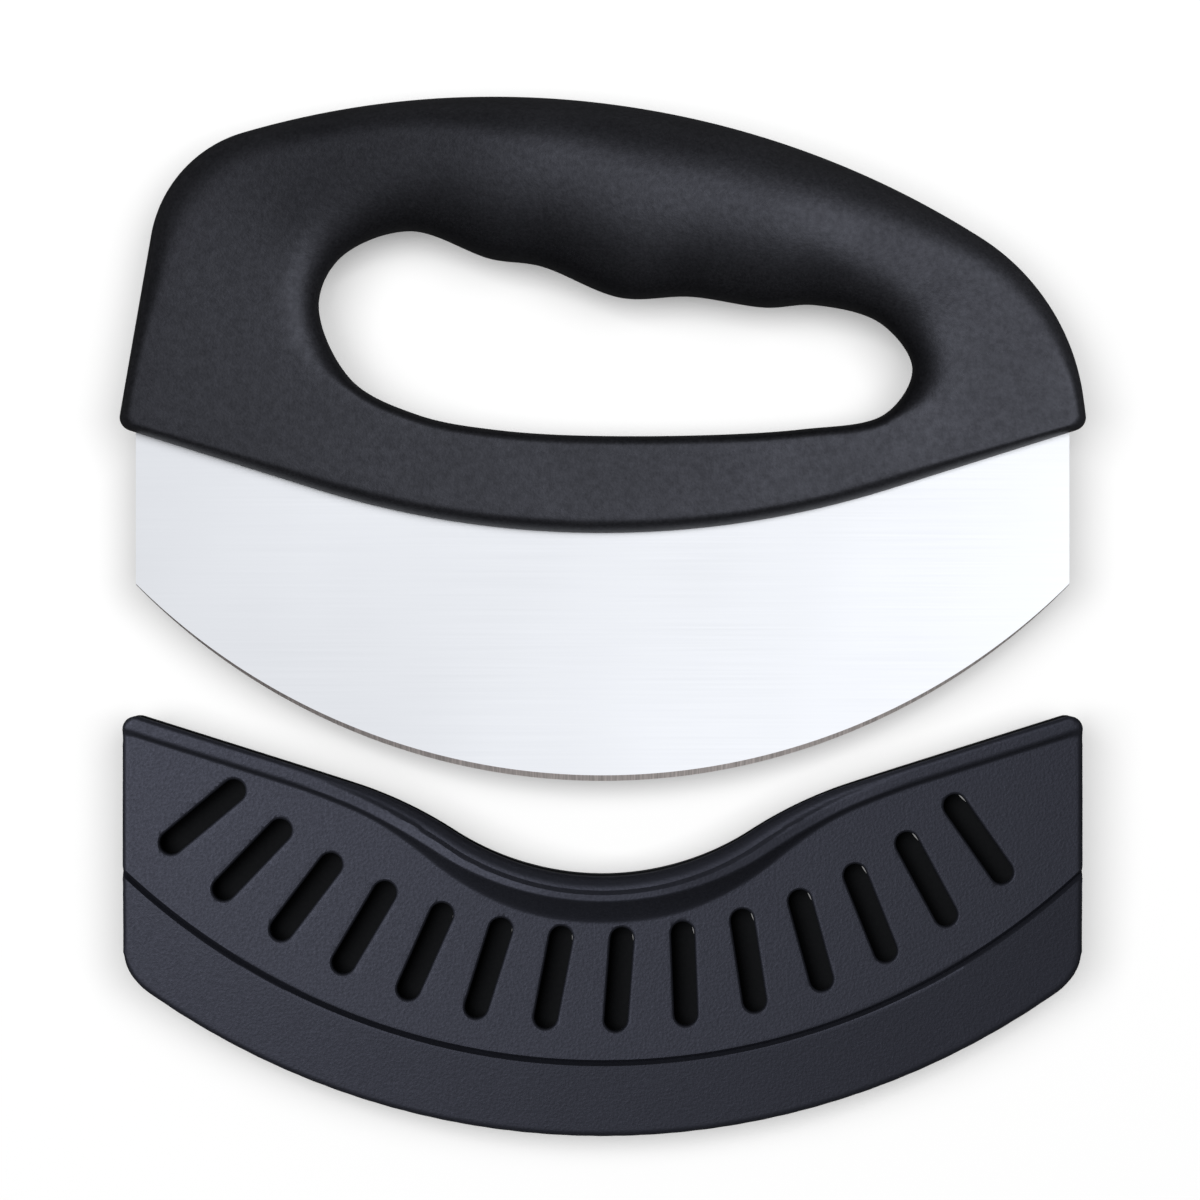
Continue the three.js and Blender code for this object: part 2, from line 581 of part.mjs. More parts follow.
// One half of the guard as it sits on the blade. The other half is the same moulding turned over:
// the pegs of one side meet the sockets of the other.
function makeGuardHalf() {
  const mouth = mouthEdge();
  const outline = guardOutline(mouth);
  const above = mouth[0].y + RIM_ROLL;
  const whole = new THREE.ExtrudeGeometry(new THREE.Shape(outline), {
    depth: 2 * (PANEL_HEIGHT - GUARD_EDGE_ROUND),
    bevelThickness: GUARD_EDGE_ROUND,
    bevelSize: GUARD_EDGE_ROUND,
    bevelOffset: -GUARD_EDGE_ROUND,
    bevelSegments: BEVEL_STEPS,
  });
  const body = solid(whole.translate(0, 0, GUARD_EDGE_ROUND - PANEL_HEIGHT));
  const rearHalf = block([-BEYOND, -BEYOND, -BEYOND], [BEYOND, BEYOND, SEAM]);
  const rim = makeRim(mouth, extruded(outline, 0, BEYOND));

  const slotRadius = EDGE_RADIUS + EDGE_CLEARANCE;
  const slot = extruded(bowlOutline(EDGE_CENTRE, slotRadius, SLOT_REACH, above), 0, SLOT_HALF);
  const grooveCentre = new THREE.Vector2(0, GROOVE_RADIUS - BLADE_DEPTH);
  const groove = turned([
    [GROOVE_RADIUS - GROOVE_WIDTH, PANEL_HEIGHT + GROOVE_DEPTH],
    [GROOVE_RADIUS, PANEL_HEIGHT - GROOVE_DEPTH],
    [GROOVE_RADIUS + GROOVE_WIDTH, PANEL_HEIGHT + GROOVE_DEPTH],
    [GROOVE_RADIUS - GROOVE_WIDTH, PANEL_HEIGHT + GROOVE_DEPTH],
  ], grooveCentre);

  const lowerCentre = new THREE.Vector2(0, GUARD_LOWER_RADIUS - GUARD_DEPTH);
  const stopRadius = slotRadius + STOP_WALL;
  const hollowRadius = GUARD_LOWER_RADIUS - BAND_WALL;
  const bandReach = GUARD_HALF - BAND_WALL - GUARD_LOWER_CORNER / 2;
  const stop = bowlOutline(EDGE_CENTRE, stopRadius, bandReach + BAND_WALL, above);
  const band = bowlOutline(lowerCentre, hollowRadius, bandReach, 0);
  const bandHollow = extruded(band, 0, SLOT_HALF).subtract(extruded(stop, -BEYOND, BEYOND));

  const bandMiddle = (stopRadius + hollowRadius) / 2;
  const bandCentre = new THREE.Vector2(0, (EDGE_CENTRE.y + lowerCentre.y) / 2);
  const bossAt = (x) => new THREE.Vector2(x, bandCentre.y - Math.sqrt(bandMiddle ** 2 - x ** 2));
  const bosses = [bossAt(PEG_PLACE), bossAt(-PEG_PLACE)]
    .map((place) => bar(place, BOSS_DIAMETER, SEAM, PANEL_HEIGHT - GUARD_EDGE_ROUND));
  const peg = bar(bossAt(PEG_PLACE), PEG_DIAMETER, -PEG_REACH, SLOT_HALF);
  const socket = bar(bossAt(-PEG_PLACE), PEG_DIAMETER + 2 * FIT_GAP, 0, PEG_REACH + FIT_GAP);

  const padTop = undersideHeight(PAD_PLACE) - SEAT_GAP - RIM_ROLL - RIM_CREST;
  const pads = [-PAD_PLACE, PAD_PLACE].map((x) => block(
    [x - PAD_WIDTH / 2, padTop - PAD_LENGTH, BLADE_THICKNESS / 2 + FIT_GAP],
    [x + PAD_WIDTH / 2, padTop, PANEL_HEIGHT - GUARD_EDGE_ROUND]));

  return body.add(rim)
    .subtract(rearHalf)
    .subtract(slot)
    .subtract(bandHollow)
    .add(joined([...bosses, peg, ...pads]))
    .subtract(joined([socket, groove, makeVents()]));
}

const handlePlastic = new THREE.MeshStandardMaterial({ color: 0x2b2c2f, roughness: 0.45, metalness: 0 });
const guardPlastic = new THREE.MeshStandardMaterial({ color: 0x33343a, roughness: 0.6, metalness: 0 });
const steel = new THREE.MeshStandardMaterial({ color: 0xdfe2e6, roughness: 0.3, metalness: 1 });

function piece(name, geometry, material) {
  const mesh = new THREE.Mesh(geometry, material.clone());
  mesh.name = name;
  return mesh;
}

const knife = new THREE.Group();
knife.add(piece("blade", makeBlade(), steel));
knife.add(piece("handle_front_shell", makeHandleFront(), handlePlastic));
knife.add(piece("handle_back_shell", makeHandleBack(), handlePlastic));

const guard = new THREE.Group();
const guardHalf = geometryOf(makeGuardHalf());
const guardBack = piece("guard_back_shell", guardHalf.clone(), guardPlastic);
guardBack.rotation.y = Math.PI;
guard.add(piece("guard_front_shell", guardHalf, guardPlastic), guardBack);
guard.position.y = -GUARD_TRAVEL;

// The part rests on its grip, with its origin on the table under the middle of its outline
const laid = new THREE.Group();
laid.add(knife, guard);
laid.position.set(0, (GUARD_DEPTH + GUARD_TRAVEL - CROWN_HEIGHT) / 2, GRIP_THICKNESS / 2);

const mezzaluna = new THREE.Group();
mezzaluna.add(laid);

export default mezzaluna;
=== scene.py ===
"""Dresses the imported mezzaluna: a steel rocking blade, a black loop handle and a slotted blade guard.

The shapes are worked out in millimetres, in the plane of the blade, and then set into the frame.
"""

import math

import bpy
import numpy as np
from bpy.props import FloatProperty, FloatVectorProperty, IntProperty, PointerProperty
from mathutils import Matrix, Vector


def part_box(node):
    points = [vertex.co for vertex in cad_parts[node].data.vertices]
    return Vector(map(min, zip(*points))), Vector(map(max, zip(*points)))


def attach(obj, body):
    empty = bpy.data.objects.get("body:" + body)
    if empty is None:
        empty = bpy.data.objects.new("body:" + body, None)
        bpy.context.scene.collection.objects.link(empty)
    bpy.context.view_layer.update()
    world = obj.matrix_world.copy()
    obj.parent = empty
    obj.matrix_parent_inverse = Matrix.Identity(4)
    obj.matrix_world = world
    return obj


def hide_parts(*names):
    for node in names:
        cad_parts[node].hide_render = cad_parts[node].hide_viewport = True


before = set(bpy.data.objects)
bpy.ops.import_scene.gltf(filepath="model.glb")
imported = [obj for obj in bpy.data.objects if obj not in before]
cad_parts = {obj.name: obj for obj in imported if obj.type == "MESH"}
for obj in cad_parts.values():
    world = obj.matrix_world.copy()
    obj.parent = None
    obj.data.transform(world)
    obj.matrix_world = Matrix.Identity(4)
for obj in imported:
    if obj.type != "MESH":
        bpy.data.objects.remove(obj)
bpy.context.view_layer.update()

bl_info = {
    "name": "Mezzaluna",
    "version": (1, 0, 0),
    "blender": (4, 5, 0),
    "location": "View3D > Sidebar > Mezzaluna",
    "description": "Builds the blade, the handle, the blade guard and the stage of a mezzaluna",
    "category": "Add Mesh",
}

MM = 0.001

# Blade, with the tang that runs up into the handle
BLADE_LENGTH = 180
BLADE_THICKNESS = 1.2
BLADE_DEPTH = 47.8
EDGE_RADIUS = 126
EDGE_LAND = 0.2
TANG_DEPTH = 12
TANG_INSET = 8
TANG_SHOULDER = 1.5
BEVEL_AT_ENDS = 0.15

# Handle outline, measured from the lowest point of its underside, a hair inside that of the solids
HANDLE_OVERHANG = 3.36
UNDERSIDE_RADIUS = 185
UNDERSIDE_SLOPE = math.radians(17.5)
CROWN_HEIGHT = 84.1
CROWN_OFFSET = -20.7
CROWN_RADIUS = 175
LEFT_LEAN = math.radians(9.7)
RIGHT_LEAN = math.radians(7.5)
LEFT_SHOULDER_RADIUS = 25
RIGHT_SHOULDER_RADIUS = 43
BASE_CORNER_RADIUS = 2.5

# Handle sections: a flat base that swells into an oval grip
OUTER_EDGE_ROUND = 3
LOOP_EDGE_ROUND = 8
BAR_EDGE_ROUND = 2.4
GRIP_CREST = (0.3, 0.42)
GRIP_FLAT = 0.02
EDGE_FULLNESS = 0.8
SWELL_LEFT = (-80, -12)
SWELL_RIGHT = (32, 80)
SWELL_RAY = (0.05, 0.75)
CROWN_RAY = (-0.2, 0.9)
CREST_REACH = (-45, 20)
POCKET_HALF = 0.9
POCKET_DEPTH = 13
PARTING_HALF = 0.25
PARTING_DEPTH = 0.15

# Finger loop, measured up from the bar under it: the floor, the right end, the four finger
# scallops with the bumps between them, and the left lobe
BAR_HEIGHT = 18.7
LOOP_POINTS = (
    (2.7, 0), (38.2, 1.3), (54.6, 4.4), (59.8, 13.1), (53.7, 21.8), (41.1, 25.3), (31.5, 24.8),
    (17, 26.9), (3.5, 26.7), (-12, 32.8), (-21.6, 34.2), (-37.4, 39.6), (-50.6, 34.5),
    (-54.8, 25.3), (-48.6, 11), (-35.9, 4.2), (-20.5, 1.2),
)
LOOP_LEFT_CENTRE = (-36, 20.5)
LOOP_RIGHT_CENTRE = (46, 13)

# Guard: two like halves that lie face to face and leave a slot for the blade
GUARD_HALF = 92.2
GUARD_DEPTH = 62.1
GUARD_LOWER_RADIUS = 152
GUARD_LOWER_CORNER = 10.5
GUARD_TOP_CORNER = 2.5
GUARD_EDGE_ROUND = 1
PANEL_HEIGHT = 3.5
SLOT_HALF = 1.6
SLOT_REACH = 90.7
SLOT_RADIUS = 127.5
SEAT_GAP = 0.4
DIP_DEPTH = 12
DIP_RADIUS = 52
DIP_SHOULDER_RADIUS = 77
GROOVE_RADIUS = 134
GROOVE_HALF = 0.6
GROOVE_DEPTH = 1
BAND_LEAN = math.radians(4.5)

# Guard rim: the lip rolls over more in the dip, and in the middle it flares into a thumb rest
RIM_ROLL = 0.9
RIM_CREST = 2.2
RIM_SLOPE = 0.9
RIM_HEIGHT = 0.8
LIP_ROLL = 3
LIP_REACH = (28, 60)
LIP_CREASE = 0.5
LIP_CREASE_DEPTH = 0.8
LEAST_CREASE = 0.01
FLARE_CREST = 1.5
FLARE_SLOPE = 4.5
FLARE_REACH = (8, 45)
FLARE_HOLLOW = 1.5
RIM_SOFTNESS = 0.12

# Guard slots: a row of slanted round-ended cut-outs along the blade's edge
SLOT_LENGTH = 20
SLOT_PITCH = 12.6
SLOT_INSET = 16
SLOT_SLANT = math.radians(6)
SLOT_SHIFT = -0.25

# Half of the gap between two halves, and a length that clears the part
SEAM = 0.1
BEYOND = 200

# Points of the blade's outline: over each shoulder, over the tang, and the step between the two
SHOULDER_POINTS = 12
TANG_POINTS = 200
TANG_STEP = 0.05

# The guard's grid: how far its columns lie from an end and its rows from the groove and from the lower
# edge, how many there are between, and how the rows over the rim are bunched towards the mouth
END_STEPS = (0, 0.04, 0.13, 0.28, 0.48, 0.72, 1, 1.5, 2.1, 2.9)
GROOVE_STEPS = (1.4, 0.85, 0.6, 0.3, 0, -0.3, -0.6, -0.85, -1.4)
EDGE_STEPS = (2, 1.3, 0.85, 0.5, 0.26, 0.1, 0)
MIDDLE_COLUMNS = 221
PANEL_ROWS = 10
BAND_ROWS = 8
RIM_SPAN = 9.6
LIP_ROWS = 13
LIP_BUNCHING = 1.6
RIM_ROWS = 34

# Points along the mouth, which runs on past both ends, and along the edges that are rounded
MOUTH_POINTS = 1600
MOUTH_MARGIN = 6
LOWER_POINTS = 1400
SIDE_POINTS = 120
CORNER_POINTS = 30
CORNER_SHARE = 0.744

# The rounded mouth of a cut-out: how far its profile turns, in how many steps, and how it flares above
SLOT_MOUTH_TURN = math.radians(78)
SLOT_MOUTH_STEPS = 6
SLOT_MOUTH_FLARE = 2.4

# Angles in degrees past which an edge is shaded sharp, and how upright the normal of a flat face is
BLADE_CREASE = 4
HANDLE_CREASE = 40
GUARD_CREASE = 35
FLAT_FACE = 0.9

# Stage, in metres from here: a wide card, two lamps and a camera over a point beside the origin
CARD_REACH = 4
LAMP_SIZE = 1.0
LAMP_PLACES = {"knife": (0.45, 0.2, 1.5), "guard": (-0.6, 0.15, 1.5)}
VIEW_CENTRE = (-0.5 * MM, 3.1 * MM)
LENS = 100
SENSOR_WIDTH = 36

# The card: the share of the lamps' light that it returns to the eye and to the part, its own level beside
# the part and far away with the distances between which that grows, and how near the part it goes dark
CARD_LIT = 0.5
CARD_DIM = 0.06
CARD_LEVEL = (0.23, 1.0)
CARD_FADE = (0.2, 1.6)
CARD_NEAR = (0.1, 0.4)

# Refractive index of polypropylene, and the range that holds most values of a noise
PLASTIC_IOR = 1.49
NOISE_BULK = (0.3, 0.7)

# The dressed pieces that ride each body
PIECES = {"knife": [], "guard": []}

BLADE_HALF = BLADE_LENGTH / 2
TANG_HALF = BLADE_HALF - TANG_INSET
HANDLE_HALF = BLADE_HALF + HANDLE_OVERHANG
EDGE_CENTRE = np.array((0, EDGE_RADIUS - BLADE_DEPTH))
CROWN_CENTRE = np.array((CROWN_OFFSET, CROWN_HEIGHT - CROWN_RADIUS))
ARC_REACH = UNDERSIDE_RADIUS * math.sin(UNDERSIDE_SLOPE)
ARC_RISE = UNDERSIDE_RADIUS * (1 - math.cos(UNDERSIDE_SLOPE))


def linear(code):
    """Turns an sRGB hex colour into the linear values that the shaders take."""
    shares = [int(code[i:i + 2], 16) / 255 for i in (0, 2, 4)]
    return tuple(c / 12.92 if c <= 0.04045 else ((c + 0.055) / 1.055) ** 2.4 for c in shares) + (1.0,)


class BladeSettings(bpy.types.PropertyGroup):
    """Sizes and colours of the blade."""

    bevel_width: FloatProperty(
        name="Bevel width", description="Width of the ground edge at the middle of the blade",
        default=1.1 * MM, unit="LENGTH")
    steel: FloatVectorProperty(
        name="Steel", description="Colour of the bright faces",
        size=4, subtype="COLOR", default=linear("eff1f5"))
    edge: FloatVectorProperty(
        name="Ground edge", description="Colour of the ground edge",
        size=4, subtype="COLOR", default=linear("d6cfcd"))


class HandleSettings(bpy.types.PropertyGroup):
    """Sizes and colours of the handle."""

    grip_thickness: FloatProperty(
        name="Grip thickness", description="Thickness of the oval grip",
        default=24 * MM, unit="LENGTH")
    base_thickness: FloatProperty(
        name="Base thickness", description="Thickness of the cheeks and of the bar over the blade",
        default=11 * MM, unit="LENGTH")
    plastic: FloatVectorProperty(
        name="Plastic", description="Colour of the handle",
        size=4, subtype="COLOR", default=linear("141416"))


class GuardSettings(bpy.types.PropertyGroup):
    """Sizes and colours of the blade guard."""

    flare_height: FloatProperty(
        name="Flare height", description="How far the thumb rest stands above the panel",
        default=4.2 * MM, unit="LENGTH")
    slot_count: IntProperty(
        name="Slots", description="Number of cut-outs in each half", default=14, min=1)
    slot_width: FloatProperty(
        name="Slot width", description="Width of each cut-out",
        default=4.4 * MM, unit="LENGTH")
    slot_edge: FloatProperty(
        name="Slot edge", description="Rounding of the edge of each cut-out",
        default=0.55 * MM, unit="LENGTH")
    plastic: FloatVectorProperty(
        name="Plastic", description="Colour of the guard",
        size=4, subtype="COLOR", default=linear("16171c"))


class StageSettings(bpy.types.PropertyGroup):
    """Sizes and levels of the stage."""

    view_width: FloatProperty(
        name="View width", description="Width of the view at the blade",
        default=231.6 * MM, unit="LENGTH")
    lamp: FloatProperty(
        name="Lamp", description="Power of each of the two lamps", default=23.0, unit="POWER")
    fill: FloatProperty(
        name="Fill", description="Level of the surroundings", default=0.09)
    floor: FloatVectorProperty(
        name="Floor", description="Colour of the floor",
        size=4, subtype="COLOR", default=linear("fafafa"))


def lerp(low, high, share):
    """The value at a share of the way from one value to another."""
    return low + (high - low) * share


def smoothstep(value, low, high):
    """A share that grows smoothly from 0 to 1 between two values."""
    share = np.clip((value - low) / (high - low), 0, 1)
    return share * share * (3 - 2 * share)


def arc(centre, radius, start, end, step):
    """Points along an arc, with both its ends."""
    count = max(2, math.ceil(abs(end - start) * radius / step))
    turns = np.linspace(start, end, count + 1)
    return np.asarray(centre) + radius * np.stack((np.cos(turns), np.sin(turns)), axis=1)


def line(start, end, step):
    """Points along a straight line, with both its ends."""
    count = max(1, math.ceil(np.linalg.norm(end - start) / step))
    return start + (end - start) * np.linspace(0, 1, count + 1)[:, None]


def unit(vector):
    """A vector brought to a length of 1."""
    return vector / np.linalg.norm(vector)


def angle(vector):
    """The turn of a vector from the x axis, from 0 to a full turn."""
    return math.atan2(vector[1], vector[0]) % (2 * math.pi)


def rounded_corner(before, corner, after, radius, step):
    """The arc that rounds a corner between two straight sides."""
    back, on = unit(before - corner), unit(after - corner)
    half = math.acos(back @ on) / 2
    inward = unit(back + on)
    middle = angle(-inward)
    turn = math.pi / 2 - half
    return arc(corner + inward * radius / math.sin(half), radius, middle - turn, middle + turn, step)


def reach_along(start, direction, centre, distance):
    """How far along a direction a point is when it lies at a distance from a centre."""
    offset = start - centre
    along = offset @ direction
    return -along + math.sqrt(along ** 2 - offset @ offset + distance ** 2)


def underside(x):
    """Height of the handle's underside: an arc that runs out into a straight rise at each end."""
    reach = np.abs(x)
    curved = UNDERSIDE_RADIUS - np.sqrt(np.maximum(UNDERSIDE_RADIUS ** 2 - reach ** 2, 0))
    return np.where(reach > ARC_REACH, ARC_RISE + (reach - ARC_REACH) * math.tan(UNDERSIDE_SLOPE), curved)


def handle_side(side, lean, shoulder_radius):
    """One leaning side of the handle with the shoulder that joins it to the crown."""
    corner = np.array((side * HANDLE_HALF, float(underside(HANDLE_HALF))))
    rise = np.array((-side * math.sin(lean), math.cos(lean)))
    inward = np.array((-side * math.cos(lean), -math.sin(lean)))
    start = corner + inward * shoulder_radius
    length = reach_along(start, rise, CROWN_CENTRE, CROWN_RADIUS - shoulder_radius)
    centre = start + rise * length
    return corner, corner + rise * length, centre, angle(-inward), angle(centre - CROWN_CENTRE)


def handle_outline(step=0.8, fine=0.35):
    """The outer outline of the handle, anticlockwise from its left base corner."""
    corner, left_top, left_centre, left_line, left_crown = handle_side(-1, LEFT_LEAN, LEFT_SHOULDER_RADIUS)
    right_corner, right_top, right_centre, right_line, right_crown = handle_side(
        1, RIGHT_LEAN, RIGHT_SHOULDER_RADIUS)
    near = np.array((ARC_REACH, ARC_RISE))
    left_base = rounded_corner(left_top, corner, near * (-1, 1), BASE_CORNER_RADIUS, fine)
    right_base = rounded_corner(near, right_corner, right_top, BASE_CORNER_RADIUS, fine)
    count = math.ceil((right_base[0][0] - left_base[-1][0]) / step)
    x = np.linspace(left_base[-1][0], right_base[0][0], count + 1)
    runs = (
        left_base,
        np.stack((x, underside(x)), axis=1),
        right_base,
        line(right_base[-1], right_top, step),
        arc(right_centre, RIGHT_SHOULDER_RADIUS, right_line, right_crown, step),
        arc(CROWN_CENTRE, CROWN_RADIUS, right_crown, left_crown, step),
        arc(left_centre, LEFT_SHOULDER_RADIUS, left_crown, left_line, step),
        line(left_top, left_base[0], step),
    )
    return np.concatenate([run[:-1] for run in runs])


def loop_outline(samples=60):
    """The finger loop: a smooth closed curve through its points."""
    after = np.array(LOOP_POINTS, float) + (0, BAR_HEIGHT)
    before, here = np.roll(after, 1, axis=0), after
    after, beyond = np.roll(after, -1, axis=0), np.roll(after, -2, axis=0)
    first, middle, last = (
        np.sqrt(np.linalg.norm(b - a, axis=1))[:, None]
        for a, b in ((before, here), (here, after), (after, beyond)))
    leave = middle * ((here - before) / first - (after - before) / (first + middle) + (after - here) / middle)
    arrive = middle * ((after - here) / middle - (beyond - here) / (middle + last) + (beyond - after) / last)
    share = (np.arange(samples) / samples)[None, :, None]
    here, after, leave, arrive = (value[:, None, :] for value in (here, after, leave, arrive))
    points = (
        here + leave * share
        + (3 * (after - here) - 2 * leave - arrive) * share ** 2
        + (2 * (here - after) + leave + arrive) * share ** 3)
    return points.reshape(-1, 2)


def cross(first, second):
    """The cross product of vectors in the plane."""
    return first[..., 0] * second[..., 1] - first[..., 1] * second[..., 0]


def handle_stations():
    """Stations round the handle: each joins a point of the outline to the finger loop, along a ray
    that starts square to the loop's spine."""
    loop = loop_outline()
    sides = np.roll(loop, -1, axis=0) - loop
    left, right = (np.array((x, BAR_HEIGHT + y)) for x, y in (LOOP_LEFT_CENTRE, LOOP_RIGHT_CENTRE))
    spine = right - left
    outer = handle_outline()
    share = np.clip((outer - left) @ spine / (spine @ spine), 0, 1)
    start = left + share[:, None] * spine
    ray = outer - start
    ray /= np.linalg.norm(ray, axis=1)[:, None]
    offset = loop[None] - start[:, None]
    turn = cross(ray[:, None], sides[None])
    along = cross(offset, ray[:, None]) / turn
    distance = cross(offset, sides[None]) / turn
    distance[(along < 0) | (along > 1) | (distance <= 0)] = np.inf
    inner = start + ray * distance.min(axis=1)[:, None]
    middle = (inner + outer)[:, 0] / 2
    swell = (
        smoothstep(middle, *SWELL_LEFT) * (1 - smoothstep(middle, *SWELL_RIGHT))
        * smoothstep(ray[:, 1], *SWELL_RAY))
    crest = lerp(*GRIP_CREST, smoothstep(middle, *CREST_REACH))
    return inner, outer, ray, swell, crest


def handle_sections(grip_thickness, base_thickness, round_steps=14, flat_steps=8):
    """Half sections of the handle, from the loop over the top to the outline. The outline's seam is
    a fine parting line, and over the blade it opens into the pocket for the tang."""
    inner, outer, ray, swell, crest = handle_stations()
    sections = []
    for start, end, way, full, top in zip(inner, outer, ray, swell, crest):
        width = np.linalg.norm(end - start)
        height = lerp(base_thickness, grip_thickness, full) / 2
        loop_round = lerp(LOOP_EDGE_ROUND, BAR_EDGE_ROUND, smoothstep(-way[1], *SWELL_RAY))
        inner_round = lerp(loop_round, width * (1 - GRIP_FLAT - top), full)
        outer_round = lerp(OUTER_EDGE_ROUND, width * top, smoothstep(way[1], *CROWN_RAY))
        power = lerp(EDGE_FULLNESS, 1, full)
        over_blade = abs(end[0]) < BLADE_HALF and end[1] < float(underside(end[0])) + SEAM
        mouth, depth = (POCKET_HALF, POCKET_DEPTH) if over_blade else (PARTING_HALF, PARTING_DEPTH)
        if over_blade and abs(end[0]) > TANG_HALF:
            depth = 2 * TANG_SHOULDER
        profile = []
        for low in (SEAM, mouth):
            first = math.asin((low / height) ** (1 / power))
            turns = np.linspace(first, math.pi / 2, round_steps + 1)
            profile.append(np.stack((1 - np.cos(turns) ** power, height * np.sin(turns) ** power), axis=1))
        rise = profile[0] * (inner_round, 1)
        fall = profile[1][::-1] * (-outer_round, 1) + (width, 0)
        flat = np.linspace(rise[-1], fall[0], flat_steps + 2)[1:-1]
        tail = np.array(((width - depth, mouth), (width - depth, SEAM)))
        across = np.concatenate((rise, flat, fall, tail))
        plan = start + across[:, :1] * way
        sections.append(np.column_stack((plan, across[:, 1])))
    return np.array(sections)


def skin(rows, count, ring):
    """Faces over rows of points with as many points each, where each row is a closed section."""
    first = np.arange(rows if ring else rows - 1)[:, None] * count
    second = (first + count) % (rows * count)
    here = np.arange(count)[None]
    up = (here + 1) % count
    return np.stack((first + here, first + up, second + up, second + here), axis=-1).reshape(-1, 4)


def mesh_object(name, points, faces, shift):
    """A mesh of points in millimetres, moved into the frame."""
    mesh = bpy.data.meshes.new(name)
    mesh.from_pydata((np.asarray(points) + shift) * MM, [], [tuple(map(int, face)) for face in faces])
    mesh.validate()
    made = bpy.data.objects.new(name, mesh)
    bpy.context.scene.collection.objects.link(made)
    return made


def cut(body, cutter):
    """Takes a cutter out of a body, and removes the cutter."""
    modifier = body.modifiers.new("cut", "BOOLEAN")
    modifier.object = cutter
    modifier.operation = "DIFFERENCE"
    modifier.solver = "EXACT"
    graph = bpy.context.evaluated_depsgraph_get()
    mesh = bpy.data.meshes.new_from_object(body.evaluated_get(graph))
    body.modifiers.clear()
    body.data, used = mesh, body.data
    bpy.data.meshes.remove(used)
    bpy.data.meshes.remove(cutter.data)


def settle(made, materials, body, node, crease):
    """Shades a piece, gives it its materials and sets it on its body in place of its CAD node."""
    mesh = made.data
    mesh.materials.clear()
    for material in materials:
        mesh.materials.append(material)
    mesh.shade_smooth()
    mesh.set_sharp_from_angle(angle=math.radians(crease))
    PIECES[body].append(made)
    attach(made, body)
    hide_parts(node)


def add_node(tree, kind, inputs, **settings):
    """Adds a node with its own settings, and with its inputs set to values or linked to sockets."""
    made = tree.nodes.new(kind)
    for name, value in settings.items():
        setattr(made, name, value)
    for name, value in inputs.items():
        if isinstance(value, bpy.types.NodeSocket):
            tree.links.new(value, made.inputs[name])
        else:
            made.inputs[name].default_value = value
    return made


def new_material(name):
    """An empty material with its output and the coordinates of its piece, in metres."""
    material = bpy.data.materials.new(name)
    material.use_nodes = True
    tree = material.node_tree
    tree.nodes.clear()
    place = add_node(tree, "ShaderNodeTexCoord", {})
    output = add_node(tree, "ShaderNodeOutputMaterial", {})
    return material, tree, place.outputs["Object"], output.inputs["Surface"]


def noise(tree, place, size, detail=3.0, roughness=0.5):
    """Noise with patches of a size, in the units of its coordinates."""
    return add_node(tree, "ShaderNodeTexNoise", {
        "Vector": place, "Scale": 1 / size, "Detail": detail, "Roughness": roughness}).outputs["Fac"]


def stretched(tree, place, sizes):
    """Coordinates counted in patches that have a size of their own along each axis."""
    return add_node(tree, "ShaderNodeVectorMath", {
        0: place, 1: tuple(1 / size for size in sizes)}, operation="MULTIPLY").outputs["Vector"]


def ranged(tree, value, low, high, bulk=NOISE_BULK):
    """Maps a value, by default a noise, on to a range."""
    return add_node(tree, "ShaderNodeMapRange", {
        "Value": value, "From Min": bulk[0], "From Max": bulk[1], "To Min": low, "To Max": high,
    }).outputs["Result"]


def combined(tree, operation, first, second):
    """Two values put together by an operation."""
    return add_node(tree, "ShaderNodeMath", {0: first, 1: second}, operation=operation).outputs["Value"]


def shaded(tree, colour, share):
    """A colour made lighter or darker by a share."""
    return add_node(tree, "ShaderNodeVectorMath", {
        0: colour[:3], "Scale": share}, operation="SCALE").outputs["Vector"]


def bumped(tree, height, distance, strength):
    """The normal over a fine relief."""
    return add_node(tree, "ShaderNodeBump", {
        "Height": height, "Distance": distance, "Strength": strength}).outputs["Normal"]


def surfaced(tree, surface, inputs):
    """Gives a material its shader."""
    tree.links.new(add_node(tree, "ShaderNodeBsdfPrincipled", inputs).outputs["BSDF"], surface)


def satin_polypropylene(colour):
    """Polypropylene moulded against a blasted steel mould: a satin black with a fine even grain, faint
    cloudy patches where the melt flowed, and a dull sheen that handling has rubbed uneven."""
    material, tree, place, surface = new_material("satin_moulded_polypropylene")
    # Grain of about 0.1 mm, drawn at 0.5 mm so that it shows
    grain = noise(tree, place, 0.5 * MM)
    rubs = noise(tree, place, 1.2 * MM)
    cloud = noise(tree, place, 22 * MM, 4.0)
    share = combined(tree, "MULTIPLY", ranged(tree, cloud, 0.75, 1.25), ranged(tree, grain, 0.5, 1.5))
    # The bluish specular tint is a painted reflection colour: a blue cast that stands in for bluish light
    surfaced(tree, surface, {
        "Base Color": shaded(tree, colour, share), "Roughness": ranged(tree, cloud, 0.49, 0.55),
        "IOR": PLASTIC_IOR, "Specular IOR Level": ranged(tree, rubs, 0.35, 0.51),
        "Specular Tint": linear("e7ebff"), "Normal": bumped(tree, grain, 0.05 * MM, 0.6)})
    return material


